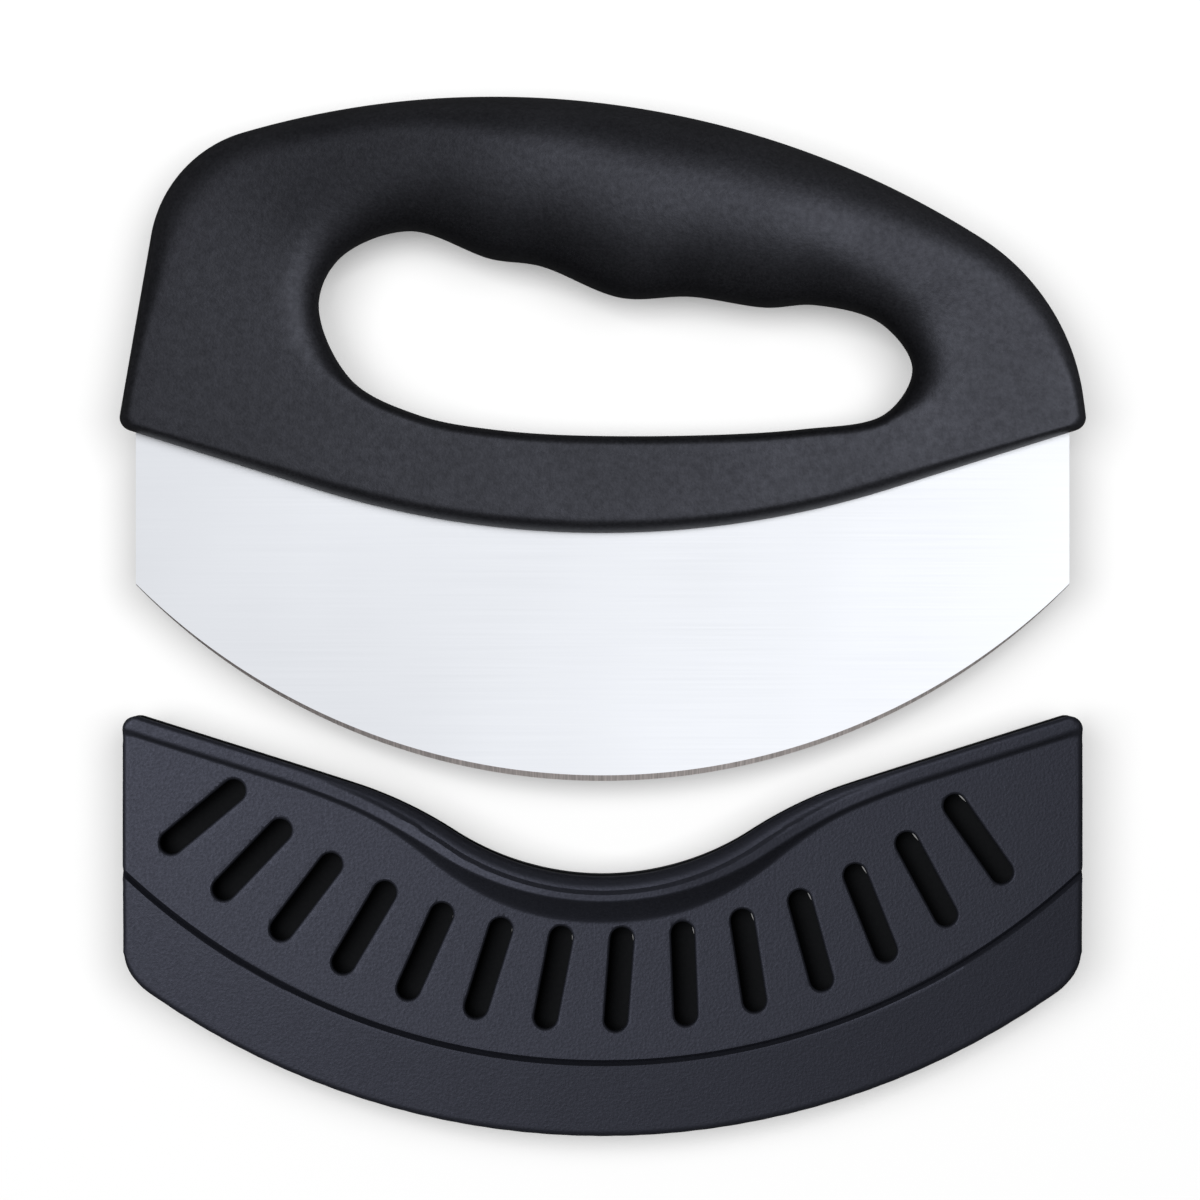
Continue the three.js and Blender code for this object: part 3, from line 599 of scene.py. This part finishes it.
def spark_polypropylene(colour):
    """Polypropylene moulded against a spark-eroded mould: a dry, sandy black, slightly blue in its own colour
    and with a painted blue tint in its reflections, whose pits and peaks scatter small lights."""
    material, tree, place, surface = new_material("spark_textured_polypropylene")
    # Grit of about 0.2 mm, drawn at 0.55 mm so that it shows
    grit = noise(tree, place, 0.55 * MM, 4.0, 0.6)
    cloud = noise(tree, place, 16 * MM, 4.0)
    share = combined(
        tree, "MULTIPLY", ranged(tree, cloud, 0.92, 1.08), ranged(tree, grit, 0.7, 1.32, (0.32, 0.68)))
    # The bluish specular tint is a painted reflection colour that stands in for bluish light
    surfaced(tree, surface, {
        "Base Color": shaded(tree, colour, share), "Roughness": ranged(tree, grit, 0.58, 0.48),
        "IOR": PLASTIC_IOR, "Specular IOR Level": 0.58, "Specular Tint": linear("dde2ff"),
        "Normal": bumped(tree, grit, 0.1 * MM, 0.65)})
    return material


def painted_shade_polypropylene():
    """The faces inside the guard's blade slot: a darker black with no sheen, painted shade for the slot's
    shadow.
    """
    material, tree, place, surface = new_material("painted_shade_inside_polypropylene")
    # Tool marks of about 0.2 mm, drawn at 0.8 mm so that they show
    marks = noise(tree, place, 0.8 * MM)
    surfaced(tree, surface, {
        # Darker than the guard's own colour: painted shade
        "Base Color": linear("111214"), "Roughness": ranged(tree, marks, 0.85, 0.95),
        "IOR": PLASTIC_IOR, "Specular IOR Level": 0.12})
    return material


def bright_steel(colour):
    """Stainless sheet, fine-ground along its length: almost white under a soft lamp, with faint
    streaks that run along the blade."""
    material, tree, place, surface = new_material("fine_ground_stainless_steel")
    # Grinding lines of about 0.05 mm, drawn 0.3 mm wide and 40 mm long so that they show
    lines = noise(tree, stretched(tree, place, (40 * MM, 0.3 * MM, 0.3 * MM)), 1)
    cloud = noise(tree, place, 60 * MM, 2.0)
    surfaced(tree, surface, {
        "Base Color": shaded(tree, colour, ranged(tree, cloud, 0.97, 1.03)), "Metallic": 1.0,
        "Roughness": ranged(tree, lines, 0.71, 0.735), "Normal": bumped(tree, lines, 0.004 * MM, 0.4)})
    return material


def ground_steel(colour):
    """The same steel where the edge was ground across: duller, with the short scores of the wheel."""
    material, tree, place, surface = new_material("wheel_ground_stainless_steel")
    # Wheel scores of about 0.1 mm, drawn 0.4 mm wide so that they show
    scores = noise(tree, stretched(tree, place, (0.4 * MM, 6 * MM, 6 * MM)), 1)
    surfaced(tree, surface, {
        "Base Color": shaded(tree, colour, ranged(tree, scores, 0.75, 1.2)), "Metallic": 1.0,
        "Roughness": 0.7, "Normal": bumped(tree, scores, 0.02 * MM, 0.5)})
    return material


def white_card(colour):
    """Matt white card. Light that it scatters on to the part is held back, so that the part's edges
    stay dark, while the eye, metal and glass see it white."""
    material, tree, place, surface = new_material("matt_white_card")
    path = add_node(tree, "ShaderNodeLightPath", {}).outputs
    seen = path["Is Camera Ray"]
    for kind in ("Is Glossy Ray", "Is Transmission Ray"):
        seen = combined(tree, "MAXIMUM", seen, path[kind])
    seen = combined(tree, "MULTIPLY", seen, ranged(tree, path["Ray Length"], 0, 1, CARD_NEAR))
    # Away from the part, where the lamps fade, the card stays as white as beside it
    away = add_node(tree, "ShaderNodeVectorMath", {0: place}, operation="LENGTH").outputs["Value"]
    glow = add_node(tree, "ShaderNodeEmission", {
        "Color": colour, "Strength": ranged(tree, away, *CARD_LEVEL, CARD_FADE)})
    lit, dim = (
        add_node(tree, "ShaderNodeBsdfDiffuse", {"Color": (share, share, share, 1)}).outputs["BSDF"]
        for share in (CARD_LIT, CARD_DIM))
    white = add_node(tree, "ShaderNodeAddShader", {0: lit, 1: glow.outputs["Emission"]})
    card = add_node(tree, "ShaderNodeMixShader", {"Fac": seen, 1: dim, 2: white.outputs["Shader"]})
    tree.links.new(card.outputs["Shader"], surface)
    return material


def knife_shift():
    """Where the lowest point of the handle's underside, in the middle of the blade, lies in the frame."""
    low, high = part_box("blade")
    return np.array((0, low.y / MM + BLADE_DEPTH, (low.z + high.z) / 2 / MM))


def guard_shift():
    """Where that point of the seated knife lies for the guard, which is drawn off."""
    low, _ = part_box("guard_front_shell")
    return np.array((0, low.y / MM + GUARD_DEPTH, knife_shift()[2]))


class MEZZALUNA_OT_blade(bpy.types.Operator):
    """Builds the steel blade with its ground edge and its tang"""

    bl_idname = "mezzaluna.blade"
    bl_label = "Blade"

    def execute(self, context):
        settings = context.scene.mezzaluna_blade
        shoulder = np.linspace(TANG_HALF + TANG_STEP, BLADE_HALF, SHOULDER_POINTS)
        x = np.concatenate((-shoulder[::-1], np.linspace(-TANG_HALF, TANG_HALF, TANG_POINTS), shoulder))
        top = underside(x) + np.where(np.abs(x) > TANG_HALF, TANG_SHOULDER, TANG_DEPTH)
        width = settings.bevel_width / MM * lerp(1, BEVEL_AT_ENDS, (x / BLADE_HALF) ** 2)
        ground = EDGE_CENTRE[1] - np.sqrt((EDGE_RADIUS - width) ** 2 - x ** 2)
        edge = EDGE_CENTRE[1] - np.sqrt(EDGE_RADIUS ** 2 - x ** 2)
        half, land = BLADE_THICKNESS / 2, EDGE_LAND / 2
        ring = ((top, -half), (top, half), (ground, half), (edge, land), (edge, -land), (ground, -half))
        points = np.stack([np.stack((x, y, np.full_like(x, z)), axis=1) for y, z in ring], axis=1)
        count = len(ring)
        faces = skin(len(x), count, False).tolist()
        last = (len(x) - 1) * count
        caps = [list(range(count))[::-1], list(range(last, last + count))]
        made = mesh_object("blade_plate", points.reshape(-1, 3), faces + caps, knife_shift())
        settle(made, [bright_steel(settings.steel), ground_steel(settings.edge)],
               "knife", "blade", BLADE_CREASE)
        # Sides 2 to 4 of the ring are the two bevels and the land between them
        for index, face in enumerate(made.data.polygons[:len(faces)]):
            face.material_index = int(index % count in (2, 3, 4))
        return {"FINISHED"}


class MEZZALUNA_OT_handle(bpy.types.Operator):
    """Builds the two mouldings of the handle, front and back"""

    bl_idname = "mezzaluna.handle"
    bl_label = "Handle"

    def execute(self, context):
        settings = context.scene.mezzaluna_handle
        sections = handle_sections(settings.grip_thickness / MM, settings.base_thickness / MM)
        rows, count, _ = sections.shape
        faces = skin(rows, count, True)
        points = sections.reshape(-1, 3)
        plastic = satin_polypropylene(settings.plastic)
        for side, turned, name in ((1, faces[:, ::-1], "front"), (-1, faces, "back")):
            made = mesh_object(f"handle_{name}_moulding", points * (1, 1, side), turned, knife_shift())
            settle(made, [plastic], "knife", f"handle_{name}_shell", HANDLE_CREASE)
        return {"FINISHED"}


def mouth_line(x):
    """Height of the guard's mouth: a straight run under each end of the handle, and a dip between them
    that bares the blade for the thumb."""
    run = np.array((math.cos(UNDERSIDE_SLOPE), math.sin(UNDERSIDE_SLOPE)))
    up = np.array((-run[1], run[0]))
    on_line = np.array((ARC_REACH, ARC_RISE - SEAT_GAP))
    dip = np.array((0, DIP_RADIUS - DIP_DEPTH))
    below = on_line - up * DIP_SHOULDER_RADIUS
    shoulder = below + run * reach_along(below, run, dip, DIP_RADIUS + DIP_SHOULDER_RADIUS)
    reach = np.abs(x)
    straight = on_line[1] + (reach - on_line[0]) * math.tan(UNDERSIDE_SLOPE)
    over = shoulder[1] + np.sqrt(np.maximum(DIP_SHOULDER_RADIUS ** 2 - (reach - shoulder[0]) ** 2, 0))
    hollow = dip[1] - np.sqrt(np.maximum(DIP_RADIUS ** 2 - reach ** 2, 0))
    meeting = (dip + unit(shoulder - dip) * DIP_RADIUS)[0]
    leaving = (shoulder + up * DIP_SHOULDER_RADIUS)[0]
    return np.where(reach < meeting, hollow, np.where(reach < leaving, over, straight))


def guard_top(x):
    """The mouth with its rounded ends."""
    slope = UNDERSIDE_SLOPE
    corner = np.array((GUARD_HALF, float(mouth_line(GUARD_HALF))))
    inward = unit(np.array((-math.cos(slope), -math.sin(slope))) + (0, -1))
    half = (math.pi / 2 - slope) / 2
    centre = corner + inward * GUARD_TOP_CORNER / math.sin(half)
    reach = np.abs(x)
    end = centre[1] + np.sqrt(np.maximum(GUARD_TOP_CORNER ** 2 - (reach - centre[0]) ** 2, 0))
    return np.where(reach > centre[0] - GUARD_TOP_CORNER * math.sin(slope), end, mouth_line(x))


def guard_bottom(x):
    """The guard's lower edge: a wide arc with a rounded corner at each end."""
    lower = GUARD_LOWER_RADIUS - GUARD_DEPTH
    corner_x = GUARD_HALF - GUARD_LOWER_CORNER
    inner = GUARD_LOWER_RADIUS - GUARD_LOWER_CORNER
    corner_y = lower - math.sqrt(inner ** 2 - corner_x ** 2)
    reach = np.abs(x)
    wide = lower - np.sqrt(GUARD_LOWER_RADIUS ** 2 - reach ** 2)
    end = corner_y - np.sqrt(np.maximum(GUARD_LOWER_CORNER ** 2 - (reach - corner_x) ** 2, 0))
    return np.where(reach > corner_x * GUARD_LOWER_RADIUS / inner, end, wide)


def nearest(points, path, batch=400):
    """Distance of each point to the nearest point of a path, and which one that is."""
    distance, which = [], []
    for part in np.array_split(points, max(1, len(points) // batch)):
        apart = np.linalg.norm(part[:, None] - path[None], axis=2)
        which.append(apart.argmin(axis=1))
        distance.append(apart.min(axis=1))
    return np.concatenate(distance), np.concatenate(which)


def rim_rise(depth, x, flare_height):
    """How far the rim stands above the panel at a depth below the mouth: a rolled lip, a crease, a
    narrow crest and a hollow slope."""
    flare, lip = (1 - smoothstep(np.abs(x), *reach) for reach in (FLARE_REACH, LIP_REACH))
    roll = lerp(RIM_ROLL, LIP_ROLL, lip)
    crest = roll + lerp(RIM_CREST, FLARE_CREST, flare)
    slope = lerp(RIM_SLOPE, FLARE_SLOPE, flare)
    rise = lerp(RIM_HEIGHT, flare_height, flare)
    sunk = LIP_CREASE_DEPTH * lip
    lip_end = roll - LIP_CREASE * lip
    share = np.clip(depth / lip_end, 0, 1)
    rolled = rise - sunk - roll * (1 - np.sqrt(1 - (1 - share) ** 2))
    climbed = np.clip((depth - lip_end) / np.maximum(roll - lip_end, LEAST_CREASE), 0, 1)
    climb = rise - sunk * (1 - climbed)
    fall = rise * (1 - np.clip((depth - crest) / slope, 0, 1)) ** FLARE_HOLLOW
    return np.select((depth < lip_end, depth < roll, depth < crest), (rolled, climb, rise), fall)


def guard_surface(flare_height):
    """The outer face of one half of the guard, as a grid of points between the mouth and the lower edge."""
    close = GUARD_HALF - np.array(END_STEPS)
    x = np.concatenate((-close, np.linspace(-close[-1], close[-1], MIDDLE_COLUMNS)[1:-1], close[::-1]))
    top, bottom = guard_top(x), guard_bottom(x)
    groove = GROOVE_RADIUS - BLADE_DEPTH - np.sqrt(GROOVE_RADIUS ** 2 - x ** 2)
    lean = np.gradient(mouth_line(x), x)
    upright = 1 / np.sqrt(1 + lean ** 2)

    # Rows down each column: close together over the rim, at the groove and at the lower edge
    rim = np.concatenate((np.linspace(0, 1, LIP_ROWS) ** LIP_BUNCHING, np.linspace(1, 3, RIM_ROWS)[1:])) / 3
    rim_rows = top - rim[:, None] * RIM_SPAN / upright
    groove_rows = groove + np.array(GROOVE_STEPS)[:, None]
    edge_rows = bottom + np.array(EDGE_STEPS)[:, None]
    panel_rows = lerp(rim_rows[-1], groove_rows[0], np.linspace(0, 1, PANEL_ROWS)[1:-1, None])
    band_rows = lerp(groove_rows[-1], edge_rows[0], np.linspace(0, 1, BAND_ROWS)[1:-1, None])
    y = np.concatenate((rim_rows, panel_rows, groove_rows, band_rows, edge_rows))
    plan = np.stack((np.broadcast_to(x, y.shape), y), axis=-1)
    flat = plan.reshape(-1, 2)

    past = GUARD_HALF + MOUTH_MARGIN
    along = np.linspace(-past, past, MOUTH_POINTS)
    depth, which = nearest(flat, np.stack((along, mouth_line(along)), axis=1))
    # The rim is softened under a bell curve
    taps = np.linspace(-2, 2, 9)
    weight = np.exp(-0.5 * taps ** 2)
    rise = sum(
        rim_rise(np.abs(depth + tap * RIM_SOFTNESS), along[which], flare_height) * share
        for tap, share in zip(taps, weight / weight.sum()))

    grooved = GROOVE_RADIUS - np.hypot(flat[:, 0], flat[:, 1] - (GROOVE_RADIUS - BLADE_DEPTH))
    sunk = GROOVE_DEPTH * np.clip(1 - np.abs(grooved) / GROOVE_HALF, 0, 1)
    sunk += math.tan(BAND_LEAN) * np.maximum(-grooved, 0)

    ends = np.linspace(-GUARD_HALF, GUARD_HALF, LOWER_POINTS)
    drop = np.linspace(0, 1, SIDE_POINTS)[:, None]
    side_top, side_bottom = float(guard_top(GUARD_HALF)), float(guard_bottom(GUARD_HALF))
    right = np.hstack((np.full_like(drop, GUARD_HALF), lerp(side_bottom, side_top, drop)))
    turn = GUARD_HALF - GUARD_TOP_CORNER * np.linspace(0, CORNER_SHARE, CORNER_POINTS) ** 2
    corner = np.stack((turn, guard_top(turn)), axis=1)
    lower = np.stack((ends, guard_bottom(ends)), axis=1)
    rounds = np.concatenate((lower, right, right * (-1, 1), corner, corner * (-1, 1)))
    inset, _ = nearest(flat, rounds)
    short = np.clip(1 - inset / GUARD_EDGE_ROUND, 0, 1)
    rounded = GUARD_EDGE_ROUND * (1 - np.sqrt(1 - short ** 2))
    height = PANEL_HEIGHT + rise - sunk - rounded
    return np.column_stack((flat, height)).reshape(*y.shape, 3)


def closed_slab(surface):
    """A solid between a surface and the seam: its points and faces."""
    rows, columns, _ = surface.shape
    index = np.arange(rows * columns).reshape(rows, columns)
    grid = np.stack((index[:-1, :-1], index[1:, :-1], index[1:, 1:], index[:-1, 1:]), axis=-1).reshape(-1, 4)
    rim = np.concatenate((index[0, :-1], index[:-1, -1], index[-1, :0:-1], index[:0:-1, 0]))
    points = surface.reshape(-1, 3)
    foot = points[rim] * (1, 1, 0) + (0, 0, SEAM)
    below = np.arange(len(rim)) + len(points)
    walls = np.stack((rim, np.roll(rim, -1), np.roll(below, -1), below), axis=-1)
    return np.concatenate((points, foot)), grid.tolist() + walls.tolist() + [below.tolist()]


def blade_slot():
    """The room for half of the blade, open at the mouth: its points and faces."""
    turn = math.acos(SLOT_REACH / SLOT_RADIUS)
    bowl = arc(EDGE_CENTRE, SLOT_RADIUS, turn - math.pi, -turn, 1)
    outline = np.concatenate((bowl, ((SLOT_REACH, BEYOND), (-SLOT_REACH, BEYOND))))
    rows = [np.column_stack((outline, np.full(len(outline), z))) for z in (-SLOT_HALF, SLOT_HALF)]
    count = len(outline)
    faces = skin(2, count, False).tolist() + [list(range(count))[::-1], list(range(count, 2 * count))]
    return np.concatenate(rows), faces


def slot_cutters(count, width, edge, facets=12):
    """The row of slots, each with a flared mouth that leaves a rounded edge: points and faces."""
    turns = np.linspace(0, SLOT_MOUTH_TURN, SLOT_MOUTH_STEPS)
    profile = [(-SLOT_HALF, 0)]
    profile += [(PANEL_HEIGHT - edge * (1 - math.sin(t)), edge * (1 - math.cos(t))) for t in turns]
    profile += [(PANEL_HEIGHT + edge, SLOT_MOUTH_FLARE * edge)]
    half_turn = np.linspace(0, math.pi, facets + 1)
    radius = EDGE_RADIUS - SLOT_INSET
    straight = (SLOT_LENGTH - width) / 2
    ring = len(half_turn) * 2
    points, faces = [], []
    for number in range(count):
        turn = (number - (count - 1) / 2 + SLOT_SHIFT) * SLOT_PITCH / radius
        base = number * ring * len(profile)
        for height, flare in profile:
            reach = width / 2 + flare
            end = np.stack((np.cos(half_turn), np.sin(half_turn)), axis=1) * reach + (0, straight)
            plan = np.concatenate((end, -end))
            for lean, shift in ((-SLOT_SLANT, (0, -radius)), (turn, EDGE_CENTRE)):
                spin = np.array(((math.cos(lean), math.sin(lean)), (-math.sin(lean), math.cos(lean))))
                plan = plan @ spin + shift
            points.append(np.column_stack((plan, np.full(ring, height))))
        faces += (skin(len(profile), ring, False) + base).tolist()
        last = base + ring * (len(profile) - 1)
        faces += [list(range(base, base + ring))[::-1], list(range(last, last + ring))]
    return np.concatenate(points), faces


class MEZZALUNA_OT_guard(bpy.types.Operator):
    """Builds the two like halves of the blade guard, front and back"""

    bl_idname = "mezzaluna.guard"
    bl_label = "Guard"

    def execute(self, context):
        settings = context.scene.mezzaluna_guard
        points, faces = closed_slab(guard_surface(settings.flare_height / MM))
        slots = slot_cutters(settings.slot_count, settings.slot_width / MM, settings.slot_edge / MM)
        plastic = spark_polypropylene(settings.plastic)
        inside = painted_shade_polypropylene()
        shift = guard_shift()
        for side, name in ((1, "front"), (-1, "back")):
            turned = (side, 1, side)
            made = mesh_object(f"guard_{name}_moulding", points * turned, faces, shift)
            for hollow, hollow_faces in (blade_slot(), slots):
                cut(made, mesh_object("cutter", hollow * turned, hollow_faces, shift))
            settle(made, [plastic, inside], "guard", f"guard_{name}_shell", GUARD_CREASE)
            # The flat faces inside the blade's slot take the darker material: painted shade where the slot
            # lies in shadow
            for face in made.data.polygons:
                depth = abs(face.center.z / MM - shift[2])
                face.material_index = int(depth < SLOT_HALF + SEAM and abs(face.normal.z) > FLAT_FACE)
            made.modifiers.new("flat faces", "WEIGHTED_NORMAL").keep_sharp = True
        return {"FINISHED"}


class MEZZALUNA_OT_stage(bpy.types.Operator):
    """Lays the white card, hangs the soft lamps and sets the camera straight above the blade"""

    bl_idname = "mezzaluna.stage"
    bl_label = "Stage"

    def execute(self, context):
        settings = context.scene.mezzaluna_stage
        scene = context.scene
        scene.view_settings.view_transform = "Standard"

        corners = np.array(((-1, -1, 0), (1, -1, 0), (1, 1, 0), (-1, 1, 0)))
        card = mesh_object("card", corners * CARD_REACH / MM, [(0, 1, 2, 3)], (0, 0, 0))
        card.data.materials.append(white_card(settings.floor))

        world = bpy.data.worlds.new("grey_room")
        world.use_nodes = True
        background = world.node_tree.nodes["Background"]
        background.inputs["Color"].default_value = (1, 1, 1, 1)
        background.inputs["Strength"].default_value = settings.fill
        scene.world = world

        # The knife is lit from the upper right and the guard from the upper left, each by its own lamp
        for body, place in LAMP_PLACES.items():
            lamp = bpy.data.lights.new(f"{body}_lamp", "AREA")
            lamp.size = LAMP_SIZE
            lamp.energy = settings.lamp
            hung = bpy.data.objects.new(lamp.name, lamp)
            hung.location = place
            hung.rotation_euler = hung.location.to_track_quat("Z", "Y").to_euler()
            scene.collection.objects.link(hung)
            lit = bpy.data.collections.new(f"{body}_lit")
            for made in [card] + PIECES[body]:
                lit.objects.link(made)
            hung.light_linking.receiver_collection = lit

        camera = bpy.data.cameras.new("camera")
        camera.lens = LENS
        camera.sensor_width = SENSOR_WIDTH
        above = settings.view_width * LENS / SENSOR_WIDTH
        held = bpy.data.objects.new("camera", camera)
        held.location = (*VIEW_CENTRE, float(knife_shift()[2]) * MM + above)
        scene.collection.objects.link(held)
        scene.camera = held
        return {"FINISHED"}


class MEZZALUNA_PT_pieces(bpy.types.Panel):
    """Lists the pieces of the mezzaluna"""

    bl_idname = "MEZZALUNA_PT_pieces"
    bl_label = "Mezzaluna"
    bl_space_type = "VIEW_3D"
    bl_region_type = "UI"
    bl_category = "Mezzaluna"

    def draw(self, context):
        for operator in OPERATORS:
            self.layout.operator(operator.bl_idname)


SETTINGS = {
    "mezzaluna_blade": BladeSettings,
    "mezzaluna_handle": HandleSettings,
    "mezzaluna_guard": GuardSettings,
    "mezzaluna_stage": StageSettings,
}
OPERATORS = (MEZZALUNA_OT_blade, MEZZALUNA_OT_handle, MEZZALUNA_OT_guard, MEZZALUNA_OT_stage)
CLASSES = (*SETTINGS.values(), *OPERATORS, MEZZALUNA_PT_pieces)


def register():
    for each in CLASSES:
        bpy.utils.register_class(each)
    for name, group in SETTINGS.items():
        setattr(bpy.types.Scene, name, PointerProperty(type=group))


def unregister():
    for name in SETTINGS:
        delattr(bpy.types.Scene, name)
    for each in reversed(CLASSES):
        bpy.utils.unregister_class(each)


def main():
    """Builds every piece in order."""
    register()
    bpy.ops.mezzaluna.blade()
    bpy.ops.mezzaluna.handle()
    bpy.ops.mezzaluna.guard()
    bpy.ops.mezzaluna.stage()


if __name__ == "__main__":
    main()
